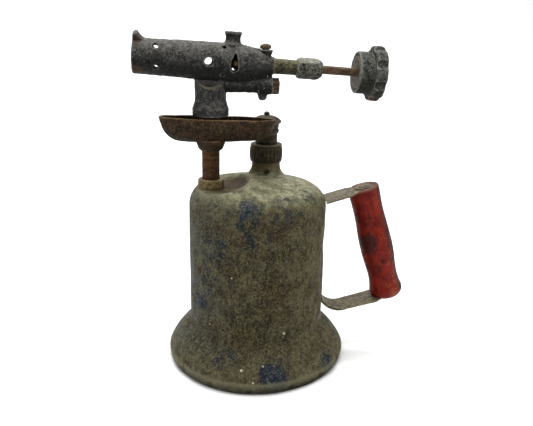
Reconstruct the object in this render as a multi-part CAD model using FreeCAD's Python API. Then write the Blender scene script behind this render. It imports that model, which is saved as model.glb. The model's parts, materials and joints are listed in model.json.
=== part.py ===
import FreeCAD, Part
import math
import os
from FreeCAD import Vector

# Gasoline blow torch: a pump-fed tank with a bell foot, a riser pipe carrying a priming cup and
# a cast burner, a needle valve with a lobed knob, and a wooden grip between two steel straps.
# Millimetres. The origin is on the tank's axis at the floor, +Z is up, and the flame leaves
# towards -X while the knob and the grip are on the +X side.

# tank
wall = 1.2
body_r = 54.0
foot_r = 72.0
foot_z = 9.0
rim_r = 69.2
rim_inner_r = 67.8
flare_top_z = 34.5
shoulder_r = 16.4
dome_r = 202.0
dome_top = 148.8
shoulder_z = dome_top - dome_r + math.sqrt((dome_r - shoulder_r) ** 2 - (body_r - shoulder_r) ** 2)
bottom_z = 5.0
dish_r = 62.0
dish_rise = 3.0

# riser, which also centres the recess pressed into the dome, the cup and the burner's neck
riser_x = -37.0
recess_r = 27.5
recess_z = 141.8
pipe_r = 6.8
pipe_bore_r = 4.6
pipe_bottom = 134.0
pipe_top = 204.0
bung_r = 10.4
bung_shank_r = 9.0
tube_bore_r = 3.6
tube_bottom = 11.0
wick_r = 3.5

# priming cup, a boat shape about the riser
cup_floor_z = 180.6
cup_boss_bottom = 170.9

# burner: its axis crosses the riser's at burner_z and falls by burner_tilt towards +X
burner_z = 236.7
burner_tilt = 3.3
barrel_bore_r = 10.4
bore_step_s = 12.0
barrel_r = 14.0
throat_r = 10.0
nozzle_s = -55.6
neck_r = 11.6
neck_flange_r = 13.6
neck_bottom = 197.0
chamber_z = 220.6
chamber_bore_r = 3.2
plug_z = 219.4
plug_x = 9.2
boss_x = 3.6
rest_bore_r = 4.0
rest_s = 15.6

# valve, along the burner's axis
running = 0.05
stem_r = 3.175
needle_r = 1.4
tube_r = 5.7
nut_start = 63.9
nut_end = 83.8
knob_face = 109.6
wheel_start = 120.5
wheel_end = 129.5
drum_r = 15.6
wheel_r = 20.5
lobes = 8

# pump
pump_x = 8.6
pump_y = 24.1
pump_r = 8.9
pump_bore_r = 7.0
pump_bottom = 50.0
neck_top = 166.6
neck_thread_r = 10.8
collar_low = 157.5
collar_high = 172.2
collar_grooves = 26
cap_z = 180.6
knob_z = 184.8
rod_r = 2.4
piston_z = 62.0

# handle: the grip's axis leans out at the bottom, and both straps meet it squarely
grip_lean = 16.4
grip_top = Vector(85.2, 0, 139.2)
grip_length = 94.0
strap_width = 24.0
lower_strap_width = 22.5
lower_strap_narrow = 19.0
strap_thick = 1.6
strap_tongue_r = 7.4
grip_cap = 2.0
grip_rod_r = 3.0
washer_thick = 0.9


def point(pair):
    return Vector(pair[0], 0, pair[1])


def outline(start, *steps):
    """A closed outline in the X-Z plane. A step is one pair for a straight edge, two for an arc."""
    edges = []
    here = point(start)
    for step in steps + (start,):
        if isinstance(step[0], tuple):
            there = point(step[1])
            edges.append(Part.Arc(here, point(step[0]), there).toShape())
        else:
            there = point(step)
            edges.append(Part.LineSegment(here, there).toShape())
        here = there
    return Part.Wire(edges)


def crown(radius, low, high):
    """The arc of a dome from its edge at radius and height low up to the axis at height high."""
    rise = high - low
    sphere_r = (radius ** 2 + rise ** 2) / (2 * rise)
    lean = math.asin(radius / sphere_r) / 2
    via = (sphere_r * math.sin(lean), high - sphere_r * (1 - math.cos(lean)))
    return via, (0, high)


def turned(start, *steps, x=0.0, y=0.0):
    """A solid turned about a vertical axis at x, y, from an outline in radius and height."""
    solid = Part.Face(outline(start, *steps)).revolve(Vector(), Vector(0, 0, 1), 360)
    solid.translate(Vector(x, y, 0))
    return solid


def on_burner(shape):
    """Move a shape made along +X, with the riser's axis at x = 0, on to the burner's axis."""
    shape.rotate(Vector(), Vector(0, 1, 0), burner_tilt)
    shape.translate(Vector(riser_x, 0, burner_z))
    return shape


def turned_on_burner(start, *steps):
    """A solid turned about the burner's axis, from an outline in length and radius."""
    return on_burner(Part.Face(outline(start, *steps)).revolve(Vector(), Vector(1, 0, 0), 360))


def on_grip(shape):
    """Move a shape whose axis is +Z, with the grip's top at z = 0, on to the grip's axis."""
    shape.rotate(Vector(), Vector(0, 1, 0), -grip_lean)
    shape.translate(grip_top)
    return shape


def ring(outer, inner, low, high, x=0.0, y=0.0):
    return turned((inner, low), (outer, low), (outer, high), (inner, high), x=x, y=y)


def rod(radius, low, high, x=0.0, y=0.0):
    return Part.makeCylinder(radius, high - low, Vector(x, y, low))


def side_rod(radius, left, right, z):
    return Part.makeCylinder(radius, right - left, Vector(left, 0, z), Vector(1, 0, 0))


def hexagon(flats, low, high):
    """A hexagonal bar on the Z axis with corners towards +X."""
    corners = [Vector(flats / math.sqrt(3), 0, low)]
    turn = FreeCAD.Rotation(Vector(0, 0, 1), 60)
    for _ in range(6):
        corners.append(turn.multVec(corners[-1]))
    return Part.Face(Part.makePolygon(corners)).extrude(Vector(0, 0, high - low))


def hexagon_on_burner(flats, start, end):
    bar = hexagon(flats, start, end)
    bar.rotate(Vector(), Vector(0, 1, 0), 90)
    return on_burner(bar)


def shoulder_join(inset):
    """Where the shoulder's arc meets the dome's sphere, and the arc's middle, for a given inset."""
    centre_r = body_r - shoulder_r
    sphere_z = dome_top - dome_r
    lean = math.atan2(centre_r, shoulder_z - sphere_z)
    radius = shoulder_r - inset
    half = (math.pi / 2 + lean) / 2
    meet = (centre_r + radius * math.sin(lean), shoulder_z + radius * math.cos(lean))
    middle = (centre_r + radius * math.sin(half), shoulder_z + radius * math.cos(half))
    return meet, middle


def tank_form(inset):
    """The tank's solid outer form, or its hollow when inset by the wall."""
    meet, middle = shoulder_join(inset)
    flare_via = (65.6 - 0.75 * inset, 19.6 - 0.65 * inset)
    flare_end = (57.0 - 0.8 * inset, 28.6 - 0.6 * inset)
    fillet_via = (54.8 - inset, 31.3 - 0.3 * inset)
    if inset:
        foot = [(rim_inner_r, 0), (rim_inner_r, foot_z)]
    else:
        foot = [(rim_r, 0), ((71.3, 3.6), (foot_r, foot_z))]
    return turned(
        (0, 0), *foot, (flare_via, flare_end), (fillet_via, (body_r - inset, flare_top_z)),
        (body_r - inset, shoulder_z), (middle, meet), crown(*meet, dome_top - inset),
    )


def pump_neck():
    """The threaded neck that the pump hangs in, spreading into the dome at its foot."""
    return turned(
        (0, 139.5), (22.6, 140.9), (16.0, 146.2), ((12.7, 150.3), (11.5, 155.6)),
        (11.5, collar_low - 0.3), (neck_thread_r, collar_low - 0.3),
        (neck_thread_r, neck_top), (0, neck_top), x=pump_x, y=pump_y,
    )


def tank_shell():
    """Drawn dome, cylinder and bell foot, with the flat recess round the riser."""
    recess = rod(recess_r, recess_z, dome_top + 5, riser_x)
    under_recess = rod(recess_r + wall, recess_z - wall, dome_top + 5, riser_x)
    shell = tank_form(0).cut(recess).fuse(pump_neck())
    shell = shell.cut(tank_form(wall).cut(under_recess))
    shell = shell.cut(rod(pump_r + running, 100, 200, pump_x, pump_y))
    return shell.cut(rod(bung_shank_r, 100, 160, riser_x))


def tank_bottom():
    """A dished disc soldered inside the foot, clear of the floor."""
    via, under = crown(dish_r, bottom_z, bottom_z + dish_rise)
    over_via, over = (via[0], via[1] + wall), (0, under[1] + wall)
    disc = turned((0, bottom_z), (dish_r, bottom_z), (via, under))
    lid = turned(
        (0, bottom_z), (rim_inner_r, bottom_z), (rim_inner_r, bottom_z + wall), (dish_r, bottom_z + wall),
        (over_via, over),
    )
    return lid.cut(disc)


def riser_bung():
    """The brass bush in the recess, with two turned rings and a threaded shank."""
    return turned(
        (pipe_r, 138.4), (bung_shank_r, 138.4), (bung_shank_r, recess_z), (bung_r, recess_z),
        (bung_r, 144.6), (bung_r - 0.5, 145.0), (bung_r - 0.2, 145.5), (bung_r - 0.4, 148.2),
        (bung_r - 1.2, 149.0), (pipe_r, 149.0), x=riser_x,
    )


def cup_section(left, right, z_left, z_right, half):
    """One level of the boat: straight sides between half ellipses, on a slightly sloping plane."""
    bow = 0.42 * (right - left)
    straight = (right - left) / 2 - bow
    turn = FreeCAD.Rotation(Vector(0, 0, 1), Vector(z_left - z_right, 0, right - left))
    spot = Vector((left + right) / 2, 0, (z_left + z_right) / 2)
    edges = []
    for side, start in ((1, -math.pi / 2), (-1, math.pi / 2)):
        oval = Part.Ellipse(Vector(side * straight, 0, 0), bow, half)
        edges.append(Part.ArcOfEllipse(oval, start, start + math.pi).toShape())
        edges.append(Part.LineSegment(
            Vector(side * straight, side * half, 0), Vector(-side * straight, side * half, 0)).toShape())
    wire = Part.Wire(edges)
    wire.Placement = FreeCAD.Placement(spot, turn)
    return wire


def drip_cup():
    """The cast priming cup, screwed on the riser by the boss under it."""
    outside = Part.makeLoft([
        cup_section(-58.0, 0.0, 177.6, 178.9, 6.6),
        cup_section(-66.4, 5.0, 179.9, 180.9, 9.9),
        cup_section(-70.8, 9.0, 183.8, 184.2, 11.9),
        cup_section(-74.0, 11.6, 190.0, 189.4, 13.2),
        cup_section(-75.9, 13.1, 196.6, 194.5, 14.0),
    ], True, False)
    inside = Part.makeLoft([
        cup_section(-56.0, -2.0, cup_floor_z, cup_floor_z + 1.0, 5.4),
        cup_section(-67.4, 5.8, 184.2, 184.6, 9.6),
        cup_section(-71.4, 9.2, 190.0, 189.4, 11.0),
        cup_section(-73.7, 11.0, 197.6, 195.5, 11.9),
    ], True, False)
    boss = turned(
        (0, cup_boss_bottom), (7.6, cup_boss_bottom), (9.2, 172.2), (11.0, 176.4), (11.8, 179.4),
        (0, 179.4), x=riser_x,
    )
    seat = rod(9.6, 176.0, cup_floor_z + 2.2, riser_x)
    cup = outside.cut(inside).fuse([boss, seat])
    return cup.cut(rod(pipe_r, 150, 210, riser_x)).removeSplitter()


def tube_form():
    """The front of the barrel, still solid."""
    return turned_on_burner(
        (nozzle_s, 0), (nozzle_s, 12.4), (nozzle_s + 0.6, 12.9), (-41, 12.8), (-10, 13.7),
        (bore_step_s, barrel_r), (bore_step_s, 0),
    )


def ogive_form():
    """The rear of the barrel, closing in to the valve's seat."""
    return turned_on_burner(
        (bore_step_s, 0), (bore_step_s, barrel_r), (21, 13.9), ((33.5, 11.3), (43.5, 6.8)), (47, 6.4),
        (47, 0),
    )


def nozzle_lip():
    """The short upturned lip on top of the nozzle's end."""
    face = Part.Face(outline(
        (nozzle_s, 11.5), (nozzle_s + 0.2, 16.2), (-54.0, 17.8), (-52.2, 17.4),
        ((-50.0, 14.5), (-45.2, 12.6)), (-45.2, 11.5),
    ))
    face.rotate(Vector(), Vector(1, 0, 0), -32)
    return on_burner(face.revolve(Vector(), Vector(1, 0, 0), 64))


def burner_neck():
    """Upright neck with its base flange, its two shoulders cut back under the barrel."""
    neck = turned(
        (0, neck_bottom), (neck_flange_r - 0.5, neck_bottom), (neck_flange_r, 197.8),
        (neck_flange_r, 202.4), (neck_r + 0.2, 208.4), (neck_r, 209.5), (neck_r, 231.0), (0, 231.0),
        x=riser_x,
    )
    for side in (-1, 1):
        corners = [(5.0, 224.6), (12.5, 216.4), (20.0, 216.4), (20.0, 232.0), (5.0, 232.0), (5.0, 224.6)]
        wedge = Part.Face(Part.makePolygon([Vector(riser_x - 20, side * y, z) for y, z in corners]))
        neck = neck.cut(wedge.extrude(Vector(40, 0, 0)))
    return neck


def burner_lower_chamber():
    """The vaporizing passage under the barrel, its rear boss and the cast nub below it."""
    chamber = side_rod(6.2, riser_x, 4.0, chamber_z)
    rear = side_rod(6.7, -2.0, plug_x, plug_z + 0.4)
    nub = rod(3.4, 211.9, 218.0, 1.8).fuse(Part.makeSphere(3.4, Vector(1.8, 0, 211.9)))
    web = Part.makeBox(34.0, 7.0, 14.0, Vector(riser_x + 8, -3.5, chamber_z))
    return [chamber, rear, nub, web]


def burner_top():
    """The boss of the top screw and the rib that runs forward from it."""
    boss = turned((0, 234.0), (2.6, 236.0), (5.0, 243.4), (5.6, 244.2), (5.6, 245.6), (0, 245.6), x=boss_x)
    rib = Part.Face(outline((16, 5), (16, 13.9), (36.3, 11.7), (36.3, 5))).extrude(Vector(0, 5.0, 0))
    rib.translate(Vector(0, -2.5, 0))
    return [boss, on_burner(rib)]


def burner_hollows():
    """Every bore, passage and air hole of the casting."""
    flame_bore = turned_on_burner(
        (nozzle_s - 1, 0), (nozzle_s - 1, barrel_bore_r), (bore_step_s, barrel_bore_r),
        (bore_step_s, throat_r), (20, throat_r), ((24.6, 9.2), (27, 6.0)), (27, 0),
    )
    valve_bore = turned_on_burner(
        (26, 0), (26, 3.0), (32, 3.0), (32, 4.2), (40, 4.2), (40, 4.8), (48, 4.8), (48, 0),
    )
    hollows = [
        flame_bore, valve_bore,
        rod(pipe_r, neck_bottom - 1, pipe_top, riser_x),
        rod(4.8, pipe_top - 1, chamber_z, riser_x),
        side_rod(chamber_bore_r, riser_x, plug_x + 1, plug_z),
        rod(2.2, plug_z, 238.0, boss_x),
        rod(2.6, 236.0, 246.0, boss_x),
    ]
    # place along the axis, angle above the side, radius and side of each air hole
    for along, lift, radius, side in (
        (-39.2, 40, 2.2, -1), (-39.2, 40, 2.2, 1), (-38.8, -33, 1.8, -1), (-38.8, -33, 1.8, 1),
        (-1.4, 0, 3.0, -1), (-1.4, 0, 3.0, 1), (9.4, 53, 1.6, -1), (9.4, 53, 1.6, 1),
        (9.0, -38, 1.3, -1), (10.0, -45, 1.3, 1), (18.0, -24, 1.5, 1),
    ):
        angle = math.radians(lift)
        way = Vector(0, side * math.cos(angle), math.sin(angle))
        hollows.append(on_burner(Part.makeCylinder(radius, 20, Vector(along, 0, 0), way)))
    # the tall window on the -Y side, in front of the jet
    window_edge = outline(
        (14.3, -3.2), ((17.0, -5.9), (19.7, -3.2)), (19.5, 1.5), (18.4, 6.0), ((17.4, 6.9), (16.6, 6.0)),
        (14.6, 1.5),
    )
    window = Part.Face(window_edge).extrude(Vector(0, 14, 0))
    window.translate(Vector(0, -20, 0))
    hollows.append(on_burner(window))
    return hollows


def burner_tube():
    """The flame tube, with its lip and its air holes."""
    return tube_form().fuse(nozzle_lip()).cut(burner_hollows()).removeSplitter()


def burner_casting():
    """Neck, vaporizing passage and the closed rear of the barrel."""
    solid = ogive_form().fuse([burner_neck()] + burner_lower_chamber() + burner_top())
    return solid.cut([tube_form()] + burner_hollows()).removeSplitter()


def rest_boss():
    """The cupped boss on the barrel that a soldering iron's rest plugs into."""
    boss = turned(
        (0, 8), (8.4, 8), (7.8, 13.4), ((6.1, 14.6), (5.5, 16.6)), (5.6, 19.2), (6.3, 20.1), (6.3, 21.6),
        (5.7, 22.2), (rest_bore_r, 22.2), (rest_bore_r, 17.4), (0, 17.4),
    )
    boss.translate(Vector(rest_s, 0, 0))
    return on_burner(boss).cut([tube_form(), ogive_form()])


def gas_jet():
    """The brass nipple at the rear of the flame tube, with its small orifice and needle seat."""
    body = turned_on_burner(
        (16, 0.5), (16, 2.0), (17.6, 4.7), (27, 4.7), (27, 3.0), (32, 3.0), (32, 1.9), (19, 1.9),
        (18, 0.6), (18, 0.5),
    )
    return body.common(hexagon_on_burner(9.0, 10, 35))


def top_screw():
    """Slotted screw that closes the drilled passage."""
    screw = turned(
        (0, 239.5), (2.6, 239.5), (2.6, 245.9), (4.1, 246.4), (4.4, 247.6), (3.9, 248.8),
        crown(3.9, 248.8, 250.0), x=boss_x,
    )
    return screw.cut(Part.makeBox(12, 1.2, 2, Vector(boss_x - 6, -0.6, 248.6)))


def rear_plug():
    """Hexagonal plug of the vaporizing passage."""
    head = hexagon(10.6, plug_x, 14.2)
    head.rotate(Vector(), Vector(0, 1, 0), 90)
    head.translate(Vector(0, 0, plug_z))
    return head.fuse(side_rod(chamber_bore_r, 0.5, plug_x + 0.5, plug_z)).removeSplitter()


def gland_tube():
    """The brass tube that the valve stem runs in, threaded for the packing nut."""
    return turned_on_burner(
        (40, stem_r + running), (40, 4.8), (47, 4.8), (47, 5.9), (49, tube_r), (nut_start, tube_r - 0.2),
        (nut_start, 5.3), (74, 5.3), (74, stem_r + running),
    )


def packing_ring():
    return turned_on_burner((74, stem_r + running), (74, 5.2), (79, 5.2), (79, stem_r + running))


def packing_nut():
    form = turned_on_burner(
        (nut_start, 5.3), (nut_start, 6.0), ((64.9, 7.2), (67.4, 7.9)), (77.6, 7.9),
        ((81.2, 7.0), (nut_end, 4.9)), (nut_end, stem_r + running), (79, stem_r + running), (79, 5.3),
    )
    return form.common(hexagon_on_burner(14.2, nut_start - 1, nut_end + 1))


def valve_needle():
    """The needle, which slides with the stem's screw motion and closes the jet."""
    return turned_on_burner((17.95, 0), (17.95, 0.3), (18.85, needle_r), (41.8, needle_r), (41.8, 0))


def valve_stem():
    socket = needle_r + running
    return turned_on_burner(
        (36, socket), (36, stem_r - 0.5), (40.5, stem_r - 0.4), (41, stem_r), (wheel_end, stem_r),
        (wheel_end, 2.4), (133.2, 2.4), (133.2, 0), (42, 0), (42, socket),
    )


def knob_drum():
    """The plain drum behind the face plate."""
    return turned_on_burner(
        (knob_face + 1.4, stem_r), (knob_face + 1.4, 13.2), (knob_face, 13.6), (knob_face, 15.0),
        (knob_face + 0.7, drum_r), (wheel_start, drum_r), (wheel_start, stem_r),
    )


def knob_face_plate():
    """Steel disc let into the drum's face, with four small holes round the stem."""
    plate = turned_on_burner(
        (knob_face, stem_r), (knob_face, 12.4), (knob_face + 1.4, 12.4), (knob_face + 1.4, stem_r),
    )
    for quarter in range(4):
        angle = math.radians(90 * quarter + 35)
        spot = Vector(knob_face - 1, 9.2 * math.cos(angle), 9.2 * math.sin(angle))
        plate = plate.cut(on_burner(Part.makeCylinder(0.9, 4, spot, Vector(1, 0, 0))))
    return plate


def knob_wheel():
    """Hand wheel with eight lobes and a groove between each pair."""
    wheel = turned_on_burner(
        (wheel_start, stem_r), (wheel_start, 18.4), ((121.2, 19.9), (122.8, wheel_r)), (127.2, wheel_r),
        ((128.8, 19.9), (wheel_end, 18.4)), (wheel_end, stem_r),
    )
    for lobe in range(lobes):
        angle = math.radians(360 / lobes * (lobe + 0.5))
        spot = Vector(wheel_start - 1, (wheel_r + 1.6) * math.cos(angle), (wheel_r + 1.6) * math.sin(angle))
        wheel = wheel.cut(on_burner(Part.makeCylinder(3.8, 12, spot, Vector(1, 0, 0))))
    return wheel


def knob_nut():
    nut = hexagon_on_burner(9.0, wheel_end, 132.6)
    return nut.cut(turned_on_burner((120, 0), (120, 2.4), (140, 2.4), (140, 0)))


def pump_barrel():
    """The pump's tube, hung in the neck by its flange."""
    return turned(
        (pump_bore_r, pump_bottom), (8.0, pump_bottom), (8.0, 150.0), (pump_r, 151.0), (pump_r, 167.6),
        (10.6, 167.6), (10.6, 169.4), (pump_r, 169.4), (pump_r, cap_z), (pump_bore_r, cap_z),
        x=pump_x, y=pump_y,
    )


def neck_gasket():
    return ring(neck_thread_r, pump_r, neck_top, 167.6, pump_x, pump_y)


def collar_washer():
    """Slip washer that rises with the collar without turning."""
    return ring(neck_thread_r - 0.05, pump_r + 0.1, 169.45, 170.2, pump_x, pump_y)


def pump_collar():
    """Grooved union nut that clamps the pump on its neck, with a plain band at the top."""
    inner = neck_thread_r + running
    collar = turned(
        (inner, collar_low), (12.5, collar_low), (12.9, 158.2), ((13.4, 163.6), (13.1, 169.2)),
        (12.4, 169.6), (12.9, 170.2), (12.8, 171.7), (12.2, collar_high), (pump_r + 0.1, collar_high),
        (pump_r + 0.1, 170.2), (inner, 170.2), x=pump_x, y=pump_y,
    )
    grooves = []
    for step in range(collar_grooves):
        angle = 2 * math.pi * step / collar_grooves
        spot_x = pump_x + 13.75 * math.cos(angle)
        spot_y = pump_y + 13.75 * math.sin(angle)
        grooves.append(rod(0.9, collar_low - 1, 169.6, spot_x, spot_y))
    return collar.cut(grooves)


def barrel_cap():
    """Screwed cap of the pump tube, which guides the rod."""
    return turned(
        (rod_r + running, cap_z), (9.4, cap_z), ((10.1, 182.5), (9.4, 184.4)), (rod_r + running, 184.4),
        x=pump_x, y=pump_y,
    )


def pump_knob():
    """Domed plunger button with a rolled edge."""
    return turned(
        (2.0, knob_z), (9.7, knob_z), (10.0, 188.4), ((11.8, 189.9), (10.2, 191.4)), (9.8, 192.2),
        ((6.2, 194.1), (2.0, 194.8)), x=pump_x, y=pump_y,
    )


def knob_rivet():
    return turned((0, 194.8), (2.3, 194.8), (2.3, 196.6), crown(2.3, 196.6, 197.8), x=pump_x, y=pump_y)


def pump_rod():
    return turned(
        (0, 54.6), (1.8, 54.6), (1.8, piston_z + 2.4), (rod_r, piston_z + 2.4), (rod_r, knob_z),
        (2.0, knob_z), (2.0, 194.8), (0, 194.8), x=pump_x, y=pump_y,
    )


def piston_plate():
    return ring(6.3, 1.8, piston_z, piston_z + 2.4, pump_x, pump_y)


def piston_leather():
    """Cup leather, open downwards so that the down stroke seals."""
    return turned(
        (1.8, piston_z - 1.6), (5.2, piston_z - 1.6), (5.4, piston_z - 5.0),
        (pump_bore_r - running, piston_z - 5.2), (pump_bore_r - running, piston_z - 0.8),
        (6.2, piston_z), (1.8, piston_z), x=pump_x, y=pump_y,
    )


def piston_nut():
    nut = hexagon(6.4, piston_z - 4.2, piston_z - 1.6)
    nut.translate(Vector(pump_x, pump_y, 0))
    return nut.cut(rod(1.8, 50, 70, pump_x, pump_y))


def check_valve_body():
    """Plug in the foot of the pump tube with the seat of the non-return ball."""
    return turned(
        (1.3, 53.0), (1.3, 49.0), (2.5, 47.6), (2.5, 42.4), (6.0, 42.4), (8.0, 44.0), (8.0, pump_bottom),
        (pump_bore_r, pump_bottom), (pump_bore_r, 53.0), x=pump_x, y=pump_y,
    )


def check_ball():
    return Part.makeSphere(2.2, Vector(pump_x, pump_y, 46.7))


def check_spring():
    """Light spring between the ball and the cage's cap."""
    wire_r = 0.22
    path = Part.makeHelix(0.8, 3.2, 1.5)
    start = Part.Wire(Part.makeCircle(wire_r, Vector(1.5, 0, 0), Vector(0, 1, 0.06)))
    spring = Part.Wire(path).makePipeShell([start], True, True)
    spring.translate(Vector(pump_x, pump_y, 41.5))
    return spring


def check_cap():
    """Screwed cap of the valve's cage, drilled for the air and hollow for the spring."""
    return turned(
        (1.0, 40.2), (6.0, 40.2), (6.0, 42.4), (2.5, 42.4), (2.5, 41.2), (1.0, 41.2),
        x=pump_x, y=pump_y,
    )


def grip():
    """Turned wooden grip, swelling in the middle and at the foot, with a strap let into each end."""
    foot = -grip_length - grip_cap
    spline = Part.BSplineCurve()
    shape = [(12.7, 0.6), (12.4, -7.0), (12.1, -19.0), (12.8, -34.0), (13.3, -46.0), (12.9, -61.0),
             (11.9, -74.0), (12.2, -82.0), (13.3, -88.0)]
    spline.interpolate([point(pair) for pair in shape])
    edges = [
        Part.LineSegment(point((grip_rod_r, grip_cap)), point((11.4, grip_cap))).toShape(),
        Part.Arc(point((11.4, grip_cap)), point((12.3, 1.6)), point(shape[0])).toShape(),
        spline.toShape(),
        Part.Arc(point(shape[-1]), point((12.9, foot + 2.6)), point((10.8, foot))).toShape(),
        Part.LineSegment(point((10.8, foot)), point((grip_rod_r, foot))).toShape(),
        Part.LineSegment(point((grip_rod_r, foot)), point((grip_rod_r, grip_cap))).toShape(),
    ]
    wood = Part.Face(Part.Wire(edges)).revolve(Vector(), Vector(0, 0, 1), 360)
    upper_pocket = strap_blade(strap_width, 0, grip_cap + 1)
    lower_pocket = strap_blade(lower_strap_width, foot - 1, grip_cap + 1)
    return on_grip(wood.cut([upper_pocket, lower_pocket]))


def handle_rod():
    """The steel rod that ties the straps together, riveted over its washer and screwed at its foot."""
    head = strap_thick + washer_thick
    foot = -grip_length - strap_thick
    return on_grip(turned(
        (0, foot - 3.6), (grip_rod_r - 0.6, foot - 3.6), (grip_rod_r - 0.6, foot), (grip_rod_r, foot),
        (grip_rod_r, head), (4.6, head), crown(4.6, head, head + 1.5),
    ))


def strap_blade(width, low, thick):
    """The straight end of a strap before it is placed: full width, then a tongue round the rod."""
    half = width / 2
    corners = [
        (-40, -half), (-half, -half), (-3, 0.4 - strap_tongue_r), (-3, strap_tongue_r - 0.4),
        (-half, half), (-40, half), (-40, -half),
    ]
    blade = Part.Face(Part.makePolygon([Vector(x, y, low) for x, y in corners]))
    return blade.extrude(Vector(0, 0, thick)).fuse(rod(strap_tongue_r, low, low + thick))


def upper_strap():
    """Flat strap from the tank's shoulder to the top of the grip."""
    strap = on_grip(strap_blade(strap_width, 0, strap_thick).cut(rod(grip_rod_r, -5, 5)))
    return strap.cut(rod(body_r, 90, 170)).removeSplitter()


def lower_strap():
    """Strap from the tank's side, bent like a J and widening towards the foot of the grip."""
    lean = math.radians(grip_lean)
    foot = Vector(grip_top.x + grip_length * math.sin(lean), 0, grip_top.z - grip_length * math.cos(lean))
    blade = (foot.x - 15.0 * math.cos(lean), foot.z - 15.0 * math.sin(lean))
    bend = (75.5, 39.6)
    wall_top = (body_r - 1.0, 51.4)
    side = outline(
        blade, bend, ((61.0, 41.0), wall_top), (wall_top[0] - 2.2, wall_top[1] - 2.0),
        ((60.2, 38.6), (bend[0] + 0.4, bend[1] - strap_thick)),
        (blade[0] + strap_thick * math.sin(lean), blade[1] - strap_thick * math.cos(lean)),
    )
    narrow = lower_strap_narrow / 2
    wide = lower_strap_width / 2
    corners = [
        (40, -narrow), (body_r, -narrow), (blade[0], -wide), (130, -wide), (130, wide), (blade[0], wide),
        (body_r, narrow), (40, narrow), (40, -narrow),
    ]
    plan = Part.Face(Part.makePolygon([Vector(x, y, 0) for x, y in corners])).extrude(Vector(0, 0, 90))
    bar = Part.Face(side).extrude(Vector(0, 40, 0))
    bar.translate(Vector(0, -20, 0))
    short = Part.makeBox(60, 60, 60, Vector(-75, -30, -grip_length - 30))
    tongue = strap_blade(lower_strap_width, -grip_length - strap_thick, strap_thick).cut(short)
    strap = bar.common(plan).fuse(on_grip(tongue))
    strap = strap.cut(on_grip(rod(grip_rod_r, -grip_length - 9, -grip_length + 5)))
    return strap.cut(rod(body_r, 20, 90)).removeSplitter()


def handle_washer():
    """Washer under the riveted head of the rod, on the upper strap."""
    return on_grip(ring(6.4, grip_rod_r, strap_thick, strap_thick + washer_thick))


def handle_nut():
    """Hexagonal nut on the rod's lower end."""
    low = -grip_length - strap_thick
    nut = hexagon(10.0, low - 3.2, low)
    return on_grip(nut.cut(rod(grip_rod_r - 0.6, low - 5, low + 1)))


pieces = {
    "tank_shell": tank_shell(),
    "tank_bottom": tank_bottom(),
    "riser_bung": riser_bung(),
    "riser_pipe": ring(pipe_r, pipe_bore_r, pipe_bottom, pipe_top, riser_x),
    "suction_tube": ring(pipe_bore_r, tube_bore_r, tube_bottom, 150, riser_x),
    "wick": rod(wick_r, tube_bottom - 2, 196, riser_x),
    "drip_cup": drip_cup(),
    "burner_tube": burner_tube(),
    "burner_casting": burner_casting(),
    "rest_boss": rest_boss(),
    "gas_jet": gas_jet(),
    "top_screw": top_screw(),
    "rear_plug": rear_plug(),
    "gland_tube": gland_tube(),
    "packing_ring": packing_ring(),
    "packing_nut": packing_nut(),
    "valve_needle": valve_needle(),
    "valve_stem": valve_stem(),
    "knob_drum": knob_drum(),
    "knob_face_plate": knob_face_plate(),
    "knob_wheel": knob_wheel(),
    "knob_nut": knob_nut(),
    "pump_barrel": pump_barrel(),
    "neck_gasket": neck_gasket(),
    "collar_washer": collar_washer(),
    "pump_collar": pump_collar(),
    "barrel_cap": barrel_cap(),
    "pump_knob": pump_knob(),
    "knob_rivet": knob_rivet(),
    "pump_rod": pump_rod(),
    "piston_plate": piston_plate(),
    "piston_leather": piston_leather(),
    "piston_nut": piston_nut(),
    "check_valve_body": check_valve_body(),
    "check_ball": check_ball(),
    "check_spring": check_spring(),
    "check_cap": check_cap(),
    "grip": grip(),
    "upper_strap": upper_strap(),
    "lower_strap": lower_strap(),
    "handle_rod": handle_rod(),
    "handle_washer": handle_washer(),
    "handle_nut": handle_nut(),
}

os.makedirs("parts", exist_ok=True)
for name, shape in pieces.items():
    shape.exportStep("parts/" + name + ".step")
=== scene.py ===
import functools
import itertools
import json
import math

import bmesh
import bpy
import numpy as np
from mathutils import Matrix, Vector


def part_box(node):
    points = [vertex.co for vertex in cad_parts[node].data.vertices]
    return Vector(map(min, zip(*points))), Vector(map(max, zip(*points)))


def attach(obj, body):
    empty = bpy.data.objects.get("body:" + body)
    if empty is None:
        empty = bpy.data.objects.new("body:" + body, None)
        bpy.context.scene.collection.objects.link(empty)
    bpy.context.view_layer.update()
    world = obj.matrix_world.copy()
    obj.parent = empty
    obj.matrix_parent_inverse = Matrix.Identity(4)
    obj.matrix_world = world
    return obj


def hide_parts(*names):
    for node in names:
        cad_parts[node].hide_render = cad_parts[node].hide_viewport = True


# Looks of a worn gasoline blow torch. Shapes and places are millimetres in the row frame and
# become metres when a mesh is made. Each aged piece is a CAD node, or a turned stand-in for one,
# with even small faces that noise and dents can move.

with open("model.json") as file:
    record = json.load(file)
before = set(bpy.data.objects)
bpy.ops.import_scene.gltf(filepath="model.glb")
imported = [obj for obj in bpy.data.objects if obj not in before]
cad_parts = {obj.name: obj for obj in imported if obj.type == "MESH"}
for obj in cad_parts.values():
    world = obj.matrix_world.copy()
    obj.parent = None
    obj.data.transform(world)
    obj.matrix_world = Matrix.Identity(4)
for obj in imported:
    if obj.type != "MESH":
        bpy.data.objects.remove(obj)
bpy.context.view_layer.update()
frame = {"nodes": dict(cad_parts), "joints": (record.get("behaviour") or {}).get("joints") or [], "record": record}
MM = 0.001

record = frame["record"]
body_of = {node: body for body, nodes in record["behaviour"]["bodies"].items() for node in nodes}


def middle(node):
    """The middle of a CAD node's box, in millimetres."""
    low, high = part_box(node)
    return (low + high) / 2 / MM


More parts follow.
